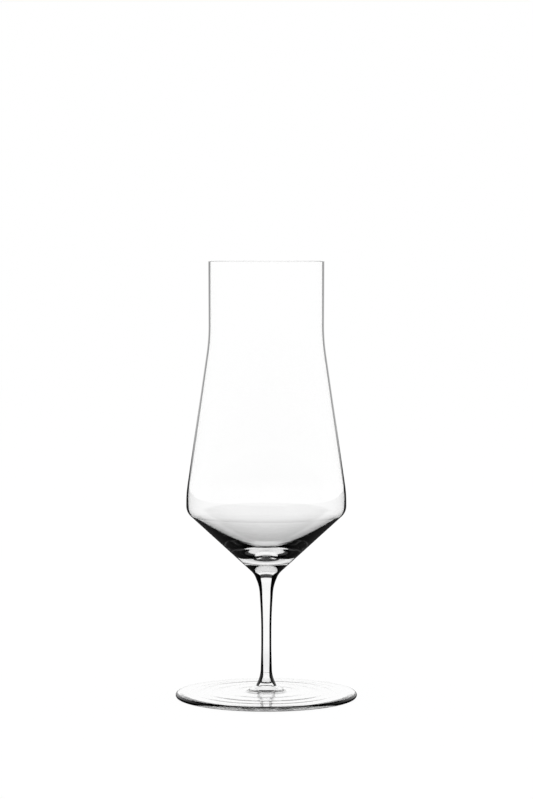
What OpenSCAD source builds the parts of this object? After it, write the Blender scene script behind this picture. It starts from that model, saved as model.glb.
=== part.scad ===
// Stemmed tulip beer glass: a blown bowl, a drawn stem and a spun foot, fused hot.
// Lengths are millimetres. The axis is Z, +Z is up, and the glass stands on z = 0.

/* [Bowl] */
// Outside diameter at the rim
rim_d = 54.3; // [48:0.1:62]
// Outside diameter where the chimney meets the widening wall
neck_d = 54.0; // [48:0.1:62]
// Greatest outside diameter, at the belly
belly_d = 75.1; // [66:0.1:88]
// Height of the chimney, from the neck to the rim
chimney_h = 36.6; // [26:0.1:50]
// Height of the widening wall, from the belly to the neck
taper_h = 72.3; // [56:0.1:92]
// Height of the upright band at the belly
belly_h = 8.6; // [7:0.1:14]
// Height of the lower cone, from the stem to the belly
cone_h = 27.5; // [22:0.1:34]
// Radius of the bend between chimney and widening wall
neck_bend_r = 90; // [50:1:140]
// Radius of the bend between widening wall and belly
belly_bend_r = 58; // [30:1:90]
// Radius of the shoulder between belly and lower cone
shoulder_r = 6.4; // [4:0.1:9]
// Thickness of the blown wall, from rim to shoulder
wall_t = 0.8; // [0.6:0.05:1.6]
// Solid glass under the lowest point of the floor
floor_t = 7.35; // [5:0.05:12]
// Radius of the dished floor inside the bowl
dish_r = 30; // [24:0.5:38]
// Radius of the gentle inside curve between the shoulder and the dished floor
bow_r = 147; // [110:1:220]

/* [Stem] */
// Length of the stem between its two joints
stem_l = 54.6; // [44:0.1:75]
// Diameter of the joint between bowl and stem
button_d = 15.3; // [12:0.1:20]
// Depth of the stretch under the joint that carries on the bowl's cone
crown_h = 1.8; // [1:0.1:2.6]
// Radius of the bend between that stretch and the upper flare
crown_r = 9; // [5:0.5:13]
// Diameter where the upper flare begins
collar_d = 6.6; // [5.4:0.1:8]
// Depth where the upper flare begins, under the joint
flare_h = 7.9; // [6:0.1:10]
// Radius of the upper flare
upper_flare_r = 20; // [12:0.5:26]
// Diameter at the thinnest stretch
waist_d = 4.75; // [3.8:0.05:5.2]
// Height of the thinnest stretch's top above the lower joint
waist_top_h = 32.1; // [24:0.1:36]
// Height of the thinnest stretch's bottom above the lower joint
waist_low_h = 17.5; // [10:0.1:21]
// Radius of the soft bends at both ends of the thinnest stretch
waist_bend_r = 235; // [120:5:300]
// Diameter where the lower flare begins
ankle_d = 5.4; // [4.6:0.1:7]
// Height where the lower flare begins above the lower joint
ankle_h = 4.8; // [3.6:0.1:6]
// Radius of the lower flare
lower_flare_r = 14.9; // [6:0.1:20]

/* [Foot] */
// Greatest diameter of the foot
foot_d = 85.3; // [72:0.1:96]
// Thickness of the foot at its rounded edge
edge_t = 2.2; // [1.6:0.1:2.8]
// Height of the joint between stem and foot above the table
boss_h = 5.4; // [4.6:0.1:7]
// Diameter of the joint between stem and foot
boss_d = 9.6; // [8:0.1:12]
// Diameter of the low mound that carries the joint
mound_d = 17; // [13:0.1:21]
// Height of the foot's upper face beside the mound
shelf_h = 3.5; // [3.1:0.1:4.2]
// Radius of the hollow curve between mound and upper face
mound_bend_r = 8; // [4:0.5:12]
// Width of the flat ring that the glass stands on
ring_w = 3; // [2:0.1:6]
// Depth of the hollow underside at the axis
hollow_h = 1.3; // [0.4:0.1:1.6]
// Diameter of the level middle of the hollow underside
hub_d = 9.6; // [6:0.1:14]
// Radius of the soft bend between that middle and the sloping underside
hub_bend_r = 120; // [60:5:160]
// Radius of the soft bend between the sloping underside and the standing ring
ring_bend_r = 40; // [20:1:60]

/* [Hidden] */
$fn = 180;
// Farthest that the straight steps of a rounded stretch lie from its true arc
arc_tol = 0.002;

// Heights of the two joints and of the bowl's bends
joint_low_z = boss_h;
joint_top_z = joint_low_z + stem_l;
belly_low_z = joint_top_z + cone_h;
belly_top_z = belly_low_z + belly_h;
neck_z = belly_top_z + taper_h;
rim_z = neck_z + chimney_h;

// Radii that more than one piece or stretch uses
rim_r = rim_d / 2;
neck_r = neck_d / 2;
belly_r = belly_d / 2;
button_r = button_d / 2;
boss_r = boss_d / 2;
foot_r = foot_d / 2;
lip_r = wall_t / 2;

// Widening of the lower cone for each millimetre of height, and its angle from the axis
cone_slope = (belly_r - button_r) / cone_h;
cone_a = atan(cone_slope);

function unit(v) = v / norm(v);

// Path p without points that repeat the one before them
function merged(p) = [for (i = [0:len(p) - 1]) if (i == 0 || norm(p[i] - p[i - 1]) > 0.001) p[i]];

// Points of an arc about c, of radius r, from angle a0 to angle a1
function arc(c, r, a0, a1) =
    let (n = max(2, ceil(abs(a1 - a0) / (2 * acos(1 - arc_tol / r)))))
    [for (k = [0:n]) c + r * [cos(a0 + (a1 - a0) * k / n), sin(a0 + (a1 - a0) * k / n)]];

// Corner b between a and c, rounded to radius r, its tangent points at most room away from b
function bend(a, b, c, r, room) =
    let (
        u = unit(a - b),
        w = unit(c - b),
        half = acos(u * w) / 2,
        reach = min(r / tan(half), room),
        rr = reach * tan(half),
        m = b + unit(u + w) * rr / sin(half),
        s = b + u * reach - m,
        e = b + w * reach - m,
        a0 = atan2(s.y, s.x)
    )
    arc(m, rr, a0, a0 + atan2(cross(s, e), s * e));

// Path p with each inner corner rounded to its radius in r; neighbours share the length between them
function rounded(p, r) =
    let (last = len(p) - 1)
    [
        p[0],
        for (i = [1:last - 1])
            each bend(p[i - 1], p[i], p[i + 1], r[i - 1],
                min((i == 1 ? 0.98 : 0.5) * norm(p[i - 1] - p[i]),
                    (i == last - 1 ? 0.98 : 0.5) * norm(p[i + 1] - p[i]))),
        p[last]
    ];

// Corner b between a and c, moved t to the left of the path
function inset(a, b, c, t) =
    let (
        d = unit(b - a),
        e = unit(c - b),
        n = [-d.y, d.x],
        q = [-e.y, e.x]
    )
    b + t * (n + q) / (1 + n * q);

// Outside of the bowl, from its button up to the lip
button_p = [button_r, joint_top_z];
shoulder_p = [belly_r, belly_low_z];
belly_p = [belly_r, belly_top_z];
neck_p = [neck_r, neck_z];
lip_p = [rim_r, rim_z - lip_r];
bowl_outside = rounded([button_p, shoulder_p, belly_p, neck_p, lip_p],
    [shoulder_r, belly_bend_r, neck_bend_r]);

// Inside of the wall, one wall thickness in, from the lip down to the shoulder's centre height
shoulder_c = [belly_r - shoulder_r, belly_low_z + shoulder_r * tan(cone_a / 2)];
inner_shoulder_r = shoulder_r - wall_t;
wall_inside = rounded(
    [
        lip_p - [wall_t, 0],
        inset(belly_p, neck_p, lip_p, wall_t),
        inset(shoulder_p, belly_p, neck_p, wall_t),
        [belly_r - wall_t, shoulder_c.y]
    ],
    [neck_bend_r + wall_t, belly_bend_r - wall_t]);

// Centre of the dish: floor_t above the joint, or higher where the cone would get thinner than the wall
cone_apex_z = joint_top_z - button_r / cone_slope + wall_t / sin(cone_a);
dish_c = [0, max(joint_top_z + floor_t + dish_r, cone_apex_z + (dish_r + 0.15) / sin(cone_a))];

// The bow touches the circles of the inner shoulder and of the dish from outside, so that the wall gets
// thicker smoothly. Below its least radius, it would leave the shoulder before the cone begins
span = shoulder_c - dish_c;
spare_r = dish_r - inner_shoulder_r;
cone_n = [cos(cone_a), -sin(cone_a)];
bow_least_r = inner_shoulder_r + (span * span - spare_r * spare_r) / (2 * (span * cone_n - spare_r));
bow = max(bow_r, bow_least_r);
bow_along = (pow(bow - dish_r, 2) - pow(bow - inner_shoulder_r, 2) + span * span) / (2 * norm(span));
bow_c = dish_c + bow_along * unit(span)
    + sqrt(pow(bow - dish_r, 2) - pow(bow_along, 2)) * unit([-span.y, span.x]);
bow_top_a = atan2(shoulder_c.y - bow_c.y, shoulder_c.x - bow_c.x);
bow_low_a = atan2(dish_c.y - bow_c.y, dish_c.x - bow_c.x);

bowl_profile = merged(concat(
    [[0, joint_top_z]],
    bowl_outside,
    arc([rim_r - lip_r, rim_z - lip_r], lip_r, 0, 180),
    wall_inside,
    arc(shoulder_c, inner_shoulder_r, 0, bow_top_a),
    arc(bow_c, bow, bow_top_a, bow_low_a),
    arc(dish_c, dish_r, bow_low_a, -90)));

// Outside of the stem, from the foot up to the button, leaving it in line with the bowl's cone
stem_profile = concat(
    [[0, joint_low_z]],
    rounded(
        [
            [boss_r, joint_low_z],
            [ankle_d / 2, joint_low_z + ankle_h],
            [waist_d / 2, joint_low_z + waist_low_h],
            [waist_d / 2, joint_low_z + waist_top_h],
            [collar_d / 2, joint_top_z - flare_h],
            [button_r - crown_h * cone_slope, joint_top_z - crown_h],
            button_p
        ],
        [lower_flare_r, waist_bend_r, waist_bend_r, upper_flare_r, crown_r]),
    [[0, joint_top_z]]);

// Foot, from the hollow underside round the edge to the low mound under the stem
ring_r = foot_r - edge_t / 2 - ring_w;
foot_profile = merged(concat(
    rounded(
        [
            [0, hollow_h],
            [hub_d / 2, hollow_h],
            [ring_r, 0],
            [foot_r, 0],
            [foot_r, edge_t],
            [mound_d / 2, shelf_h],
            [boss_r, boss_h]
        ],
        [hub_bend_r, ring_bend_r, edge_t / 2, edge_t / 2, mound_bend_r]),
    [[0, boss_h]]));

// Blown vessel with its solid button
module bowl() {
    color([0.90, 0.93, 0.94, 0.45])
        rotate_extrude()
            polygon(bowl_profile);
}

// Drawn rod, flared at both ends
module stem() {
    color([0.84, 0.89, 0.91, 0.55])
        rotate_extrude()
            polygon(stem_profile);
}

// Spun disc with its low mound and hollow underside
module foot() {
    color([0.87, 0.91, 0.93, 0.50])
        rotate_extrude()
            polygon(foot_profile);
}

bowl();
stem();
foot();
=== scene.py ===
"""Looks of a stemmed tulip beer glass: a blown bowl, a drawn stem and a spun foot of clear glass.

Every piece is a surface of revolution about Z. Its meridian, a line of points (r, z) with the direction
of travel at each point, is turned through a full circle, so that the normals are exact and no facet shows
in what the glass bends. Sizes in the classes are millimetres and repeat those of the CAD source. Meshes
are metres, in the CAD frame.
"""

import logging
import math
from dataclasses import dataclass
from enum import Enum
from typing import Sequence, Union

import bpy
import numpy as np
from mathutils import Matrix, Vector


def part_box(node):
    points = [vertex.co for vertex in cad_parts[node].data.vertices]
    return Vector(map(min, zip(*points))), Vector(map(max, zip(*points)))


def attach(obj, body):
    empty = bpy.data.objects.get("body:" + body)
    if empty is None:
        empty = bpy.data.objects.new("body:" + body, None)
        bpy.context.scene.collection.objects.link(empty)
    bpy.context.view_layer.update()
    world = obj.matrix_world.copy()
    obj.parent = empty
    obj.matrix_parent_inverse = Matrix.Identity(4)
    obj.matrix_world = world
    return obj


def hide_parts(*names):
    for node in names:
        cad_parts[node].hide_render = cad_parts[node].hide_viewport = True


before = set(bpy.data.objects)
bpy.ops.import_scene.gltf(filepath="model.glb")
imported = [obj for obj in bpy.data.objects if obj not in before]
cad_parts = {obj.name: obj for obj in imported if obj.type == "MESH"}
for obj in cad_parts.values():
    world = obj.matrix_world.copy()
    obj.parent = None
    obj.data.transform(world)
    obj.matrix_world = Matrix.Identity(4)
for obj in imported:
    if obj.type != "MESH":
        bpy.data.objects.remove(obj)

LOG = logging.getLogger("tulip_glass")
MM = 0.001
BODY = "root"
WHITE = (1.0, 1.0, 1.0, 1.0)

# Attribute that holds where a piece's painted dark rim (painted shade) begins, and a value for it beyond
# every outline
PAINTED_RIM_NAME = "painted_rim_start"
NEVER_PAINTED_DARK = 2.0

# Points closer than this, in millimetres, count as one
SAME_POINT = 1e-5

# Greatest share of a straight that an arc may take up: of an end straight, and of one between two arcs
END_ROOM = 0.98
SHARED_ROOM = 0.5

Point = tuple[float, float]
Socket = bpy.types.NodeSocket


class End(Enum):
    """How a turned piece closes on its axis."""

    POLE = "the meridian itself reaches the axis"
    SEAM = "a flat face, fused to the neighbouring piece"


class Slot(Enum):
    """Material slots of a turned piece."""

    GLASS = 0
    SEAM = 1


@dataclass(frozen=True)
class Stretch:
    """Part of a meridian.

    Attributes:
        points: Places (r, z) in millimetres, one row each.
        ways: Unit direction of travel at each place.
    """

    points: np.ndarray
    ways: np.ndarray


def unit(v: np.ndarray) -> np.ndarray:
    """Vector v at length one."""
    return v / np.linalg.norm(v)


def straight(start: Point, end: Point, step: float = 2.0) -> Stretch:
    """Evenly spaced points on the straight line from start to end.

    Args:
        start: First point (r, z).
        end: Last point (r, z).
        step: Longest distance between points, in millimetres.

    Returns:
        The line: start + t * (end - start), with t from 0 to 1.
    """
    a, b = np.array(start, float), np.array(end, float)
    count = max(2, math.ceil(np.linalg.norm(b - a) / step) + 1)
    t = np.linspace(0.0, 1.0, count)[:, None]
    return Stretch(a + t * (b - a), np.repeat(unit(b - a)[None, :], count, axis=0))


def arc(centre: Point, radius: float, start: float, end: float, turn: float = 1.5) -> Stretch:
    """Points of a circular arc.

    Args:
        centre: Centre (r, z) of the circle.
        radius: Its radius in millimetres.
        start: Angle of the first point from the r axis, in radians.
        end: Angle of the last point.
        turn: Greatest turn between points, in degrees.

    Returns:
        The arc: centre + radius * (cos a, sin a), with a from start to end.
    """
    count = max(4, math.ceil(abs(math.degrees(end - start)) / turn) + 1)
    a = np.linspace(start, end, count)
    out = np.stack([np.cos(a), np.sin(a)], axis=1)
    ways = np.stack([-np.sin(a), np.cos(a)], axis=1) * math.copysign(1.0, end - start)
    return Stretch(np.array(centre, float) + radius * out, ways)


def joined(parts: Sequence[Stretch]) -> Stretch:
    """One stretch from several, without points that repeat the one before them.

    Args:
        parts: Stretches in the order of travel.

    Returns:
        All their points and directions.
    """
    points = np.concatenate([p.points for p in parts])
    ways = np.concatenate([p.ways for p in parts])
    moved = np.linalg.norm(np.diff(points, axis=0), axis=1) > SAME_POINT
    kept = np.concatenate([[True], moved])
    return Stretch(points[kept], ways[kept])


def rounded(
    corners: Sequence[Point], radii: Sequence[float], step: float = 2.0, turn: float = 1.5
) -> Stretch:
    """A line of straights whose inner corners are rounded.

    At each corner the arc touches both straights. Its reach along them is the radius over the tangent of
    half the corner's angle, and at most END_ROOM of an end straight or SHARED_ROOM of one between two arcs.

    Args:
        corners: Points (r, z) of the sharp line.
        radii: Radius at each inner corner.
        step: Longest distance between points of a straight, in millimetres.
        turn: Greatest turn between points of an arc, in degrees.

    Returns:
        The straights and arcs in order.
    """
    p = [np.array(c, float) for c in corners]
    last = len(p) - 1
    parts: list[Stretch] = []
    at = p[0]
    for i in range(1, last):
        u, w = unit(p[i - 1] - p[i]), unit(p[i + 1] - p[i])
        half = math.acos(float(np.clip(u @ w, -1.0, 1.0))) / 2
        room = min(
            (END_ROOM if i == 1 else SHARED_ROOM) * np.linalg.norm(p[i - 1] - p[i]),
            (END_ROOM if i == last - 1 else SHARED_ROOM) * np.linalg.norm(p[i + 1] - p[i]),
        )
        reach = min(radii[i - 1] / math.tan(half), room)
        radius = reach * math.tan(half)
        centre = p[i] + unit(u + w) * radius / math.sin(half)
        s, e = p[i] + u * reach - centre, p[i] + w * reach - centre
        begin = math.atan2(s[1], s[0])
        swing = math.atan2(s[0] * e[1] - s[1] * e[0], float(s @ e))
        parts.append(straight(tuple(at), tuple(centre + s), step))
        parts.append(arc(tuple(centre), radius, begin, begin + swing, turn))
        at = centre + e
    parts.append(straight(tuple(at), tuple(p[last]), step))
    return joined(parts)


def inset(a: Point, b: Point, c: Point, depth: float) -> Point:
    """Corner b of the line a, b, c, moved to the left of the line.

    Args:
        a: Point before the corner.
        b: The corner.
        c: Point after it.
        depth: Distance that both straights move.

    Returns:
        The corner of the moved line.
    """
    d = unit(np.subtract(b, a))
    e = unit(np.subtract(c, b))
    n, q = np.array([-d[1], d[0]]), np.array([-e[1], e[0]])
    moved = np.array(b, float) + depth * (n + q) / (1 + n @ q)
    return float(moved[0]), float(moved[1])


class NodeBoard:
    """Adds nodes to one node tree and links them."""

    def __init__(self, tree: bpy.types.NodeTree) -> None:
        """Starts with an empty tree."""
        self.tree = tree
        tree.nodes.clear()

    def add(self, kind: str, **settings: object) -> bpy.types.Node:
        """Adds a node.

        Args:
            kind: Blender's name of the node type.
            **settings: Properties to set on it.

        Returns:
            The new node.
        """
        node = self.tree.nodes.new(kind)
        for name, value in settings.items():
            setattr(node, name, value)
        return node

    def feed(self, target: Socket, source: Union[Socket, float]) -> None:
        """Links a socket to target, or sets target's own value if source is a number."""
        if isinstance(source, (int, float)):
            target.default_value = source
        else:
            self.tree.links.new(source, target)

    def math(self, operation: str, *values: Union[Socket, float], clamp: bool = False) -> Socket:
        """Adds a Math node.

        Args:
            operation: Blender's name of the operation.
            *values: Its inputs, each a socket or a number.
            clamp: Whether the result is held between 0 and 1.

        Returns:
            The result's socket.
        """
        node = self.add("ShaderNodeMath", operation=operation, use_clamp=clamp)
        for target, value in zip(node.inputs, values):
            self.feed(target, value)
        return node.outputs[0]

    def times(self, first: Socket, *others: Union[Socket, float]) -> Socket:
        """The product of all values."""
        for other in others:
            first = self.math("MULTIPLY", first, other)
        return first

    def most(self, first: Socket, *others: Union[Socket, float]) -> Socket:
        """The greatest of all values."""
        for other in others:
            first = self.math("MAXIMUM", first, other)
        return first

    def rest(self, value: Socket) -> Socket:
        """What value leaves of one."""
        return self.math("SUBTRACT", 1.0, value)

    def vector(self, x: Union[Socket, float], y: Union[Socket, float], z: Union[Socket, float]) -> Socket:
        """A vector from three parts, each a socket or a number."""
        node = self.add("ShaderNodeCombineXYZ")
        for target, value in zip(node.inputs, (x, y, z)):
            self.feed(target, value)
        return node.outputs[0]

    def parts(self, vector: Socket) -> tuple[Socket, Socket, Socket]:
        """The three parts of a vector."""
        node = self.add("ShaderNodeSeparateXYZ")
        self.feed(node.inputs[0], vector)
        return node.outputs[0], node.outputs[1], node.outputs[2]

    def ramp(self, value: Socket, start: Union[Socket, float], end: Union[Socket, float]) -> Socket:
        """A smooth step: 0 up to start, 1 from end on.

        Args:
            value: What is measured.
            start: Where the step begins.
            end: Where it ends.

        Returns:
            The step's socket.
        """
        node = self.add("ShaderNodeMapRange", interpolation_type="SMOOTHSTEP", clamp=True)
        self.feed(node.inputs["Value"], value)
        self.feed(node.inputs["From Min"], start)
        self.feed(node.inputs["From Max"], end)
        return node.outputs["Result"]


@dataclass(frozen=True)
class ClearGlass:
    """Clear soda glass with painted shade: its colour goes dark over a rim, where it would bend light from
    far round the side.

    Attributes:
        ior: Index of refraction.
        roughness: Roughness of the fire-polished surface.
        softness: Half the width of the step into the painted dark rim, in shares of the radius.
        least_level: Least level part of a ray, so that a ray straight down can be divided by it.
    """

    ior: float = 1.5
    roughness: float = 0.0
    softness: float = 0.004
    least_level: float = 1e-4

    def material(self) -> bpy.types.Material:
        """Builds the glass.

        A Layer Weight on the direction away from the axis gives |cos| of the angle between the ray and
        that direction, and one on Z takes out the ray's steepness. What is left is the angle round the
        axis, and its sine is the place across the piece: 0 at its middle and 1 at its outline. From the
        piece's own painted_rim_start outwards the glass's colour and reflection tint are painted dark:
        painted shade.

        Returns:
            The material.
        """
        made = bpy.data.materials.new("clear_glass")
        made.use_nodes = True
        board = NodeBoard(made.node_tree)
        x, y, _ = board.parts(board.add("ShaderNodeTexCoord").outputs["Object"])
        outward = board.add("ShaderNodeVectorMath", operation="NORMALIZE")
        board.feed(outward.inputs[0], board.vector(x, y, 0.0))
        facing = []
        for way in (outward.outputs[0], board.vector(0.0, 0.0, 1.0)):
            weight = board.add("ShaderNodeLayerWeight")
            board.feed(weight.inputs["Normal"], way)
            cosine = board.rest(weight.outputs["Facing"])
            facing.append(board.times(cosine, cosine))
        level = board.most(board.rest(facing[1]), self.least_level)
        towards = board.math("DIVIDE", facing[0], level)
        across = board.math("SQRT", board.math("SUBTRACT", 1.0, towards, clamp=True))
        # Painted shade: from the rim's start outwards the colour goes dark, on faces where a ray enters the
        # glass
        edge = board.add("ShaderNodeAttribute", attribute_name=PAINTED_RIM_NAME).outputs["Fac"]
        low = board.math("SUBTRACT", edge, self.softness)
        dark = board.ramp(across, low, board.math("ADD", edge, self.softness))
        entering = board.rest(board.add("ShaderNodeNewGeometry").outputs["Backfacing"])
        clear = board.rest(board.times(dark, entering))
        tone = board.add("ShaderNodeCombineColor")
        for target in tone.inputs:
            board.feed(target, clear)
        shader = board.add("ShaderNodeBsdfPrincipled")
        shader.inputs["Transmission Weight"].default_value = 1.0
        shader.inputs["IOR"].default_value = self.ior
        shader.inputs["Roughness"].default_value = self.roughness
        # The painted dark rim darkens both the colour and the reflections
        board.feed(shader.inputs["Base Color"], tone.outputs[0])
        board.feed(shader.inputs["Specular Tint"], tone.outputs[0])
        board.feed(board.add("ShaderNodeOutputMaterial").inputs["Surface"], shader.outputs[0])
        return made


@dataclass(frozen=True)
class FusedSeam:
    """The face where two gathers were stuck together hot: one glass goes on into the other, unseen."""

    def material(self) -> bpy.types.Material:
        """Builds the seam, which lets every ray through unbent."""
        made = bpy.data.materials.new("fused_seam")
        made.use_nodes = True
        board = NodeBoard(made.node_tree)
        shader = board.add("ShaderNodeBsdfTransparent")
        board.feed(board.add("ShaderNodeOutputMaterial").inputs["Surface"], shader.outputs[0])
        return made


@dataclass(frozen=True)
class Turned:
    """A closed piece turned about Z.

    Attributes:
        name: Name of the piece.
        side: Meridian from its lower end round the outside to its other end.
        edge: Place across the piece where its painted dark rim begins, at each point of the meridian.
        first: How the meridian's first end closes.
        last: How its last end closes.
        columns: Steps round the circle.
    """

    name: str
    side: Stretch
    edge: np.ndarray
    first: End
    last: End
    columns: int = 256

    def mesh(self) -> bpy.types.Mesh:
        """Turns the meridian into a mesh.

        The point at angle a is (r cos a, r sin a, z). The normal is the direction of travel (dr, dz)
        turned a quarter to the right, (dz, -dr), and carried round with it. Each end closes in a fan to
        one point on the axis.

        Returns:
            The mesh, with its normals, its slots and its painted rim.
        """
        poles = self.side.points[[0, -1], 1]
        held = np.ones(len(self.side.points), bool)
        held[0] = self.first is End.SEAM
        held[-1] = self.last is End.SEAM
        points, ways, edge = self.side.points[held], self.side.ways[held], self.edge[held]
        rows, cols = len(points), self.columns
        a = np.arange(cols) * (2 * math.pi / cols)
        ring = np.stack([np.cos(a), np.sin(a)], axis=1)
        body = np.empty((rows, cols, 3))
        body[:, :, :2] = points[:, :1, None] * ring[None, :, :]
        body[:, :, 2] = points[:, 1:]
        normal = np.empty((rows, cols, 3))
        normal[:, :, :2] = ways[:, 1][:, None, None] * ring[None, :, :]
        normal[:, :, 2] = -ways[:, :1]
        low, high = rows * cols, rows * cols + 1
        axis = np.array([[0.0, 0.0, poles[0]], [0.0, 0.0, poles[1]]])
        places = np.concatenate([body.reshape(-1, 3), axis]) * MM
        index = np.arange(rows * cols).reshape(rows, cols)
        beside = np.roll(index, -1, axis=1)
        quads = np.stack([index[:-1], beside[:-1], beside[1:], index[1:]], axis=-1).reshape(-1, 4)
        under = np.stack([np.full(cols, low), beside[0], index[0]], axis=-1)
        over = np.stack([index[-1], beside[-1], np.full(cols, high)], axis=-1)
        made = bpy.data.meshes.new(self.name)
        made.from_pydata(places.tolist(), [], quads.tolist() + under.tolist() + over.tolist())
        smooth = np.concatenate([normal.reshape(-1, 3), [[0.0, 0.0, -1.0]], [[0.0, 0.0, 1.0]]])
        under_n, over_n = smooth[under], smooth[over]
        if self.first is End.SEAM:
            under_n[:] = (0.0, 0.0, -1.0)
        if self.last is End.SEAM:
            over_n[:] = (0.0, 0.0, 1.0)
        slots = np.full(len(made.polygons), Slot.GLASS.value)
        slots[len(quads):len(quads) + cols] = (Slot.SEAM if self.first is End.SEAM else Slot.GLASS).value
        slots[len(quads) + cols:] = (Slot.SEAM if self.last is End.SEAM else Slot.GLASS).value
        made.polygons.foreach_set("material_index", slots.astype(np.int32))
        made.shade_smooth()
        corners = [part.reshape(-1, 3) for part in (smooth[quads], under_n, over_n)]
        made.normals_split_custom_set(np.concatenate(corners).tolist())
        # Painted shade: where the dark rim begins at each point
        spread = np.concatenate([np.repeat(edge, cols), [NEVER_PAINTED_DARK, NEVER_PAINTED_DARK]]).astype(np.float32)
        made.attributes.new(PAINTED_RIM_NAME, "FLOAT", "POINT").data.foreach_set("value", spread)
        return made

    def piece(self, node: str) -> bpy.types.Object:
        """Puts the piece in the scene in place of a CAD node.

        Args:
            node: The CAD node that it stands for.

        Returns:
            The new object.
        """
        made = bpy.data.objects.new(self.name, self.mesh())
        bpy.context.scene.collection.objects.link(made)
        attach(made, BODY)
        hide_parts(node)
        low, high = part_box(node)
        LOG.info(
            "%s: %d faces, z %.2f to %.2f mm, node %s from %.2f to %.2f mm",
            self.name, len(made.data.polygons),
            self.side.points[:, 1].min(), self.side.points[:, 1].max(),
            node, low.z / MM, high.z / MM,
        )
        return made


@dataclass(frozen=True)
class Finishes:
    """The two finishes of the glass, as materials."""

    glass: bpy.types.Material
    seam: bpy.types.Material

    def put_on(self, piece: bpy.types.Object) -> None:
        """Fills the piece's slots in the order of Slot."""
        piece.data.materials.append(self.glass)
        piece.data.materials.append(self.seam)


@dataclass
class Bowl:
    """Blown vessel with its solid button; sizes in millimetres.

    Attributes:
        painted_rim_heights: Heights at which painted_rim_starts are given.
        painted_rim_starts: Place across the bowl where its painted dark rim begins.
        fine_share: Share of the cone, from the button up, with closely spaced points.
        fine_step: Distance between those points.
        lip_turn: Greatest turn in degrees between points of the lip.
        bow_turn: The same for the gentle inside curve.
        dish_turn: The same for the dished floor.
        columns: Steps round the circle.
    """

    joint_z: float = 60.0
    button_d: float = 15.3
    belly_d: float = 75.1
    neck_d: float = 54.0
    rim_d: float = 54.3
    cone_h: float = 27.5
    belly_h: float = 8.6
    taper_h: float = 72.3
    chimney_h: float = 36.6
    shoulder_r: float = 6.4
    belly_bend_r: float = 58.0
    neck_bend_r: float = 90.0
    wall_t: float = 0.8
    floor_t: float = 7.35
    dish_r: float = 30.0
    bow_r: float = 147.0
    painted_rim_heights: tuple[float, ...] = (60.0, 88.0, 96.0, 205.0)
    painted_rim_starts: tuple[float, ...] = (0.9, 0.965, 0.977, 0.962)
    fine_share: float = 0.7
    fine_step: float = 0.2
    lip_turn: float = 12.0
    bow_turn: float = 0.4
    dish_turn: float = 0.8
    columns: int = 240

    def meridian(self) -> tuple[Stretch, int]:
        """The bowl's line: up the cone, belly, taper and chimney, over the lip, and down to the floor.

        The inside keeps one wall thickness down to the shoulder. From there a gentle bow touches both the
        inner shoulder's circle and the dish's circle, so that the thin wall runs smoothly into the solid
        base.

        Returns:
            The line, and the number of its points that lie on the outside.
        """
        belly_r, button_r, lip_r = self.belly_d / 2, self.button_d / 2, self.wall_t / 2
        low_z = self.joint_z + self.cone_h
        top_z = low_z + self.belly_h
        neck_z = top_z + self.taper_h
        lip_z = neck_z + self.chimney_h - lip_r
        slope = (belly_r - button_r) / self.cone_h
        cone_a = math.atan(slope)
        button, shoulder = (button_r, self.joint_z), (belly_r, low_z)
        belly, neck, lip = (belly_r, top_z), (self.neck_d / 2, neck_z), (self.rim_d / 2, lip_z)
        fine_z = self.joint_z + self.cone_h * self.fine_share
        fine_end = (button_r + slope * self.cone_h * self.fine_share, fine_z)
        outside = joined([
            straight(button, fine_end, self.fine_step),
            rounded(
                [fine_end, shoulder, belly, neck, lip],
                [self.shoulder_r, self.belly_bend_r, self.neck_bend_r],
            ),
        ])
        rim = arc((lip[0] - lip_r, lip_z), lip_r, 0.0, math.pi, self.lip_turn)
        round_c = (belly_r - self.shoulder_r, low_z + self.shoulder_r * math.tan(cone_a / 2))
        inner_r = self.shoulder_r - self.wall_t
        inside = rounded(
            [
                (lip[0] - self.wall_t, lip_z),
                inset(belly, neck, lip, self.wall_t),
                inset(shoulder, belly, neck, self.wall_t),
                (belly_r - self.wall_t, round_c[1]),
            ],
            [self.neck_bend_r + self.wall_t, self.belly_bend_r - self.wall_t],
        )
        dish_c = np.array([0.0, self.joint_z + self.floor_t + self.dish_r])
        span = np.array(round_c) - dish_c
        reach, bow_in, dish_in = np.linalg.norm(span), self.bow_r - inner_r, self.bow_r - self.dish_r
        along = (dish_in**2 - bow_in**2 + reach**2) / (2 * reach)
        lift = math.sqrt(dish_in**2 - along**2)
        bow_c = dish_c + (along * span + lift * np.array([-span[1], span[0]])) / reach
        top_a = math.atan2(round_c[1] - bow_c[1], round_c[0] - bow_c[0])
        low_a = math.atan2(dish_c[1] - bow_c[1], dish_c[0] - bow_c[0])
        turn = arc(round_c, inner_r, 0.0, top_a)
        bow = arc(tuple(bow_c), self.bow_r, top_a, low_a, self.bow_turn)
        dish = arc(tuple(dish_c), self.dish_r, low_a, -math.pi / 2, self.dish_turn)
        return joined([outside, rim, inside, turn, bow, dish]), len(outside.points)

    def build(self) -> bpy.types.Object:
        """Turns the bowl, with painted shade: a dark rim set by height and only on the outside."""
        side, outer = self.meridian()
        edge = np.interp(side.points[:, 1], self.painted_rim_heights, self.painted_rim_starts)
        edge[outer:] = NEVER_PAINTED_DARK
        return Turned("bowl_glass", side, edge, End.SEAM, End.POLE, self.columns).piece("bowl")


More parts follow.
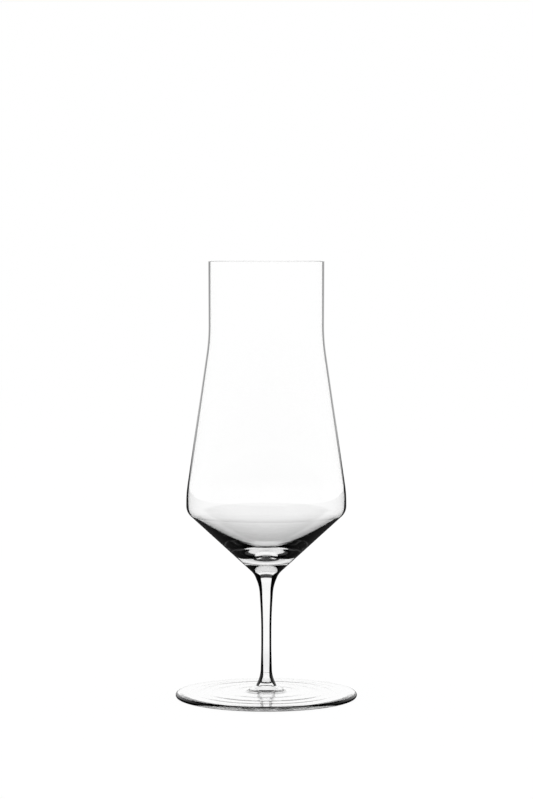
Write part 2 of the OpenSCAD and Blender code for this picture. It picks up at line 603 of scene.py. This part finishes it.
@dataclass
class Stem:
    """Drawn rod, flared at both ends; sizes in millimetres.

    Attributes:
        cone_slope: Widening of the bowl's cone for each millimetre of height.
        painted_rim_heights: Heights at which painted_rim_starts are given.
        painted_rim_starts: Place across the stem where its painted dark rim begins.
        turn: Greatest turn in degrees between points of an arc.
        columns: Steps round the circle.
    """

    low_z: float = 5.4
    length: float = 54.6
    boss_d: float = 9.6
    ankle_d: float = 5.4
    ankle_h: float = 4.8
    waist_d: float = 4.75
    waist_low_h: float = 17.5
    waist_top_h: float = 32.1
    collar_d: float = 6.6
    flare_h: float = 7.9
    crown_h: float = 1.8
    button_d: float = 15.3
    cone_slope: float = (Bowl.belly_d - Bowl.button_d) / 2 / Bowl.cone_h
    lower_flare_r: float = 14.9
    waist_bend_r: float = 235.0
    upper_flare_r: float = 20.0
    crown_r: float = 9.0
    painted_rim_heights: tuple[float, ...] = (5.4, 9.8, 20.0, 48.0, 58.0, 60.0)
    painted_rim_starts: tuple[float, ...] = (0.8, 0.48, 0.61, 0.61, 0.48, 0.78)
    turn: float = 0.4
    columns: int = 128

    def meridian(self) -> Stretch:
        """The rod's line, from the foot's boss up to the bowl's button, which it leaves along the cone."""
        top_z = self.low_z + self.length
        return rounded(
            [
                (self.boss_d / 2, self.low_z),
                (self.ankle_d / 2, self.low_z + self.ankle_h),
                (self.waist_d / 2, self.low_z + self.waist_low_h),
                (self.waist_d / 2, self.low_z + self.waist_top_h),
                (self.collar_d / 2, top_z - self.flare_h),
                (self.button_d / 2 - self.crown_h * self.cone_slope, top_z - self.crown_h),
                (self.button_d / 2, top_z),
            ],
            [self.lower_flare_r, self.waist_bend_r, self.waist_bend_r, self.upper_flare_r, self.crown_r],
            turn=self.turn,
        )

    def build(self) -> bpy.types.Object:
        """Turns the stem, with painted shade: a dark rim set by height."""
        side = self.meridian()
        edge = np.interp(side.points[:, 1], self.painted_rim_heights, self.painted_rim_starts)
        return Turned("stem_glass", side, edge, End.SEAM, End.SEAM, self.columns).piece("stem")


@dataclass
class Foot:
    """Spun disc with its low mound, rounded edge and hollow underside; sizes in millimetres.

    Attributes:
        painted_rim_heights: Heights at which painted_rim_starts are given.
        painted_rim_starts: Place across the foot where its painted dark rim begins.
        edge_rise: Upward part of the direction of travel from which on the line counts as the rounded edge.
        ripple: Height of the tooling rings; below zero, because they are counted from a hollow.
        ripple_from: Radii over which the rings fade in.
        ripple_to: Radii over which they fade out.
        ripple_first_r: Radius from which the rings are counted.
        ripple_rate: Rings for each millimetre at that radius.
        ripple_gain: Half of what that rate gains with each millimetre.
        slope_step: Half the distance over which the rings' slope is taken.
        step: Longest distance between points of a straight.
    """

    foot_d: float = 85.3
    edge_t: float = 2.2
    boss_h: float = 5.4
    boss_d: float = 9.6
    mound_d: float = 17.0
    shelf_h: float = 3.5
    mound_bend_r: float = 8.0
    ring_w: float = 3.0
    ring_bend_r: float = 40.0
    hollow_h: float = 1.3
    hub_d: float = 9.6
    hub_bend_r: float = 120.0
    painted_rim_heights: tuple[float, ...] = (0.2, 1.1, 2.1)
    painted_rim_starts: tuple[float, ...] = (0.82, 0.65, 0.4)
    edge_rise: float = 0.35
    ripple: float = -0.045
    ripple_from: tuple[float, float] = (9.0, 14.0)
    ripple_to: tuple[float, float] = (31.0, 38.0)
    ripple_first_r: float = 15.5
    ripple_rate: float = 0.0847
    ripple_gain: float = 0.00216
    slope_step: float = 1e-3
    step: float = 0.4

    def rippled(self, line: Stretch) -> Stretch:
        """The line with the faint rings that the spinning tool left in both faces.

        The height gets ripple * window(r) * cos(2 pi k(r)), where k = rate * s + gain * s^2 counts the
        rings from the first one, s beyond its radius, and the window fades the rings out towards the
        mound and the standing ring.

        Args:
            line: The smooth line.

        Returns:
            The line with the same radii, and with its directions turned by the rings' slope.
        """
        def rings(r: np.ndarray) -> np.ndarray:
            """Height of the rings at radius r."""
            none, full = self.ripple_from
            fading, gone = self.ripple_to
            fade_in = np.clip((r - none) / (full - none), 0.0, 1.0)
            fade_out = np.clip((gone - r) / (gone - fading), 0.0, 1.0)
            fade = fade_in * fade_out
            s = r - self.ripple_first_r
            count = self.ripple_rate * s + self.ripple_gain * s**2
            return self.ripple * fade**2 * (3.0 - 2.0 * fade) * np.cos(2 * math.pi * count)

        r, small = line.points[:, 0], self.slope_step
        points = line.points.copy()
        points[:, 1] += rings(r)
        ways = line.ways.copy()
        ways[:, 1] += ways[:, 0] * (rings(r + small) - rings(r - small)) / (2 * small)
        return Stretch(points, ways / np.linalg.norm(ways, axis=1, keepdims=True))

    def meridian(self) -> Stretch:
        """The disc's line: out along the underside, round the edge, and in over the top to the mound."""
        foot_r, boss_r = self.foot_d / 2, self.boss_d / 2
        ring_r = foot_r - self.edge_t / 2 - self.ring_w
        smooth = rounded(
            [
                (0.0, self.hollow_h),
                (self.hub_d / 2, self.hollow_h),
                (ring_r, 0.0),
                (foot_r, 0.0),
                (foot_r, self.edge_t),
                (self.mound_d / 2, self.shelf_h),
                (boss_r, self.boss_h),
            ],
            [self.hub_bend_r, self.ring_bend_r, self.edge_t / 2, self.edge_t / 2, self.mound_bend_r],
            step=self.step,
        )
        return self.rippled(smooth)

    def build(self) -> bpy.types.Object:
        """Turns the foot; only its rounded edge has painted shade, a dark rim."""
        side = self.meridian()
        r, z = side.points.T
        rounding = (side.ways[:, 1] > self.edge_rise) & (r > self.mound_d)
        edge = np.where(rounding, np.interp(z, self.painted_rim_heights, self.painted_rim_starts), NEVER_PAINTED_DARK)
        return Turned("foot_glass", side, edge, End.POLE, End.SEAM).piece("foot")


@dataclass(frozen=True)
class Viewpoint:
    """The photograph's camera.

    Attributes:
        distance: From the glass's axis, in metres.
        height: Above the table, in metres.
        focal: Focal length in pixels of the photograph.
        drop: How far the horizon lies above the picture's middle, in pixels.
        long_side: Long side of the photograph in pixels.
        aside: How far the glass's axis lies left of the picture's middle, in pixels.
        sensor: Width of the sensor in millimetres.
        nearest: Least distance in metres that the camera shows.
    """

    distance: float = 1.235
    height: float = 0.205
    focal: float = 2640.0
    drop: float = 138.5
    long_side: float = 799.0
    aside: float = 0.2
    sensor: float = 36.0
    nearest: float = 0.01

    def place(self) -> None:
        """Makes the camera and gives it to the scene."""
        lens = bpy.data.cameras.new("photo_camera")
        lens.sensor_width = self.sensor
        lens.lens = self.sensor * self.focal / self.long_side
        lens.shift_x = self.aside / self.long_side
        lens.clip_start = self.nearest
        made = bpy.data.objects.new("photo_camera", lens)
        made.location = (0.0, -self.distance, self.height)
        made.rotation_euler = (math.pi / 2 - math.atan(self.drop / self.focal), 0.0, 0.0)
        bpy.context.scene.collection.objects.link(made)
        bpy.context.scene.camera = made


@dataclass(frozen=True)
class Studio:
    """White table and backdrop, the same from all sides, under a darker ceiling.

    To the camera all of it is white, apart from the glass's faint shadow. In the glass it is darker in
    places, in place of the photographed glass's unknown surroundings, with a painted shadow on the table
    round the foot, and what a ray finds depends on how steep it is and how often it was reflected.

    Attributes:
        floor_size: Side of the table in metres.
        floor_z: Height of the table; a little below 0, so that it doesn't share the foot's face.
        shadow_share: Share of the table's white that the glass can shade.
        ceiling_from: Elevation in degrees where the ceiling begins.
        ceiling_to: Elevation where it has its own tone.
        ceiling: Brightness of the ceiling in the glass.
        most_turns: Reflections after which the ceiling is as white as the backdrop.
        last_turns: Reflections after which backdrop, ceiling and the table beside the foot are black.
        turn_slack: Half a reflection, for comparing counts of them.
        under_span: Distances in metres over which the white of the table under the foot ends.
        near: Brightness of the painted shadow on the table round the foot, in the glass.
        painted_shadow_span: Distances in metres over which that painted shadow fades to white.
        flat_span: Steepness, as a cosine, over which a ray through the glass begins to find that painted
            shadow.
        top_span: Steepness over which it finds the table white again.
        steep_span: Steepness over which a reflected ray loses the table.
        once_span: Steepness over which a ray reflected once in the glass loses the table beside the foot.
        lamp_size: Diameter of the soft lamp in metres.
        lamp_height: Its height above the table in metres.
        lamp_watts: Its power.
        bounces: Most turns that a ray may take in all.
        mirror_bounces: Most of them that may be reflections.
    """

    floor_size: float = 6.0
    floor_z: float = -0.0003
    shadow_share: float = 0.04
    ceiling_from: float = 30.0
    ceiling_to: float = 37.0
    ceiling: float = 0.05
    most_turns: float = 2.5
    last_turns: float = 3.5
    turn_slack: float = 0.5
    under_span: tuple[float, float] = (0.055, 0.09)
    near: float = 0.66
    painted_shadow_span: tuple[float, float] = (0.07, 0.5)
    flat_span: tuple[float, float] = (0.15, 0.22)
    top_span: tuple[float, float] = (0.64, 0.74)
    steep_span: tuple[float, float] = (0.3, 0.6)
    once_span: tuple[float, float] = (0.4, 0.48)
    lamp_size: float = 1.6
    lamp_height: float = 1.8
    lamp_watts: float = 6.0
    bounces: int = 24
    mirror_bounces: int = 12

    def world(self) -> None:
        """Makes the backdrop and the ceiling."""
        scene = bpy.context.scene
        scene.world = bpy.data.worlds.new("studio")
        scene.world.use_nodes = True
        board = NodeBoard(scene.world.node_tree)
        path = board.add("ShaderNodeLightPath")
        _, _, z = board.parts(board.add("ShaderNodeTexCoord").outputs["Generated"])
        rise = board.math("DEGREES", board.math("ARCSINE", z))
        above = board.ramp(rise, self.ceiling_from, self.ceiling_to)
        few = board.math("LESS_THAN", path.outputs["Glossy Depth"], self.most_turns)
        many = board.math("GREATER_THAN", path.outputs["Glossy Depth"], self.last_turns)
        darker = board.most(board.times(above, few, 1.0 - self.ceiling), many)
        bent = board.most(path.outputs["Is Glossy Ray"], path.outputs["Is Transmission Ray"])
        shown = board.rest(board.times(bent, darker))
        back = board.add("ShaderNodeBackground")
        back.inputs["Color"].default_value = WHITE
        board.feed(back.inputs["Strength"], board.most(path.outputs["Is Camera Ray"], shown))
        board.feed(board.add("ShaderNodeOutputWorld").inputs["Surface"], back.outputs[0])

    def table(self) -> None:
        """Makes the table, white to the camera and pale in the glass, with a painted shadow round the foot
        in the glass and a share that takes a real shadow.
        """
        half = self.floor_size / 2
        corners = [(-half, -half), (half, -half), (half, half), (-half, half)]
        shape = bpy.data.meshes.new("table")
        shape.from_pydata([(x, y, self.floor_z) for x, y in corners], [], [(0, 1, 2, 3)])
        made = bpy.data.objects.new("table", shape)
        bpy.context.scene.collection.objects.link(made)
        paint = bpy.data.materials.new("table_white")
        paint.use_nodes = True
        board = NodeBoard(paint.node_tree)
        path = board.add("ShaderNodeLightPath")
        x, y, _ = board.parts(board.add("ShaderNodeTexCoord").outputs["Object"])
        away = board.math("SQRT", board.math("ADD", board.times(x, x), board.times(y, y)))
        beside = board.ramp(away, *self.under_span)
        down = board.rest(board.add("ShaderNodeLayerWeight").outputs["Facing"])
        slant = board.math("SUBTRACT", board.ramp(down, *self.flat_span), board.ramp(down, *self.top_span))
        # Painted shadow: in the glass the table is greyer round the foot for rays at some slants, fading
        # outwards
        near = board.rest(board.ramp(away, *self.painted_shadow_span))
        painted_shadow = board.times(near, slant, 1.0 - self.near)
        turns = path.outputs["Glossy Depth"]
        turned = board.math("MINIMUM", turns, 1.0)
        single = board.math("COMPARE", turns, 1.0, self.turn_slack)
        many = board.math("GREATER_THAN", turns, self.last_turns)
        inside = board.math("MINIMUM", path.outputs["Transmission Depth"], 1.0)
        outside = board.times(turned, board.rest(inside))
        steep = board.times(board.ramp(down, *self.steep_span), turned)
        once = board.times(single, inside, board.ramp(down, *self.once_span))
        lost = board.most(board.times(beside, board.most(painted_shadow, once, many)), steep, outside)
        unseen = board.times(lost, board.rest(path.outputs["Is Camera Ray"]))
        glow = board.add("ShaderNodeEmission")
        glow.inputs["Color"].default_value = WHITE
        board.feed(glow.inputs["Strength"], board.rest(unseen))
        shade = board.add("ShaderNodeBsdfDiffuse")
        shade.inputs["Color"].default_value = WHITE
        mix = board.add("ShaderNodeMixShader")
        mix.inputs[0].default_value = self.shadow_share
        board.feed(mix.inputs[1], glow.outputs[0])
        board.feed(mix.inputs[2], shade.outputs[0])
        board.feed(board.add("ShaderNodeOutputMaterial").inputs["Surface"], mix.outputs[0])
        shape.materials.append(paint)

    def lamp(self) -> None:
        """Hangs a wide soft lamp over the glass, which the glass itself doesn't mirror."""
        light = bpy.data.lights.new("softbox", "AREA")
        light.shape = "DISK"
        light.size = self.lamp_size
        light.energy = self.lamp_watts
        made = bpy.data.objects.new("softbox", light)
        made.location = (0.0, 0.0, self.lamp_height)
        made.visible_camera = False
        made.visible_glossy = False
        made.visible_transmission = False
        bpy.context.scene.collection.objects.link(made)

    def build(self) -> None:
        """Makes the whole set."""
        scene = bpy.context.scene
        scene.view_settings.view_transform = "Standard"
        scene.cycles.max_bounces = self.bounces
        scene.cycles.transmission_bounces = self.bounces
        scene.cycles.glossy_bounces = self.mirror_bounces
        self.world()
        self.table()
        self.lamp()


def main() -> None:
    """Builds the glass piece by piece, then the set around it."""
    logging.basicConfig(level=logging.INFO, format="%(name)s: %(message)s")
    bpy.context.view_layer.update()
    finishes = Finishes(ClearGlass().material(), FusedSeam().material())
    for part in (Bowl(), Stem(), Foot()):
        finishes.put_on(part.build())
    Studio().build()
    Viewpoint().place()


if __name__ == "__main__":
    main()
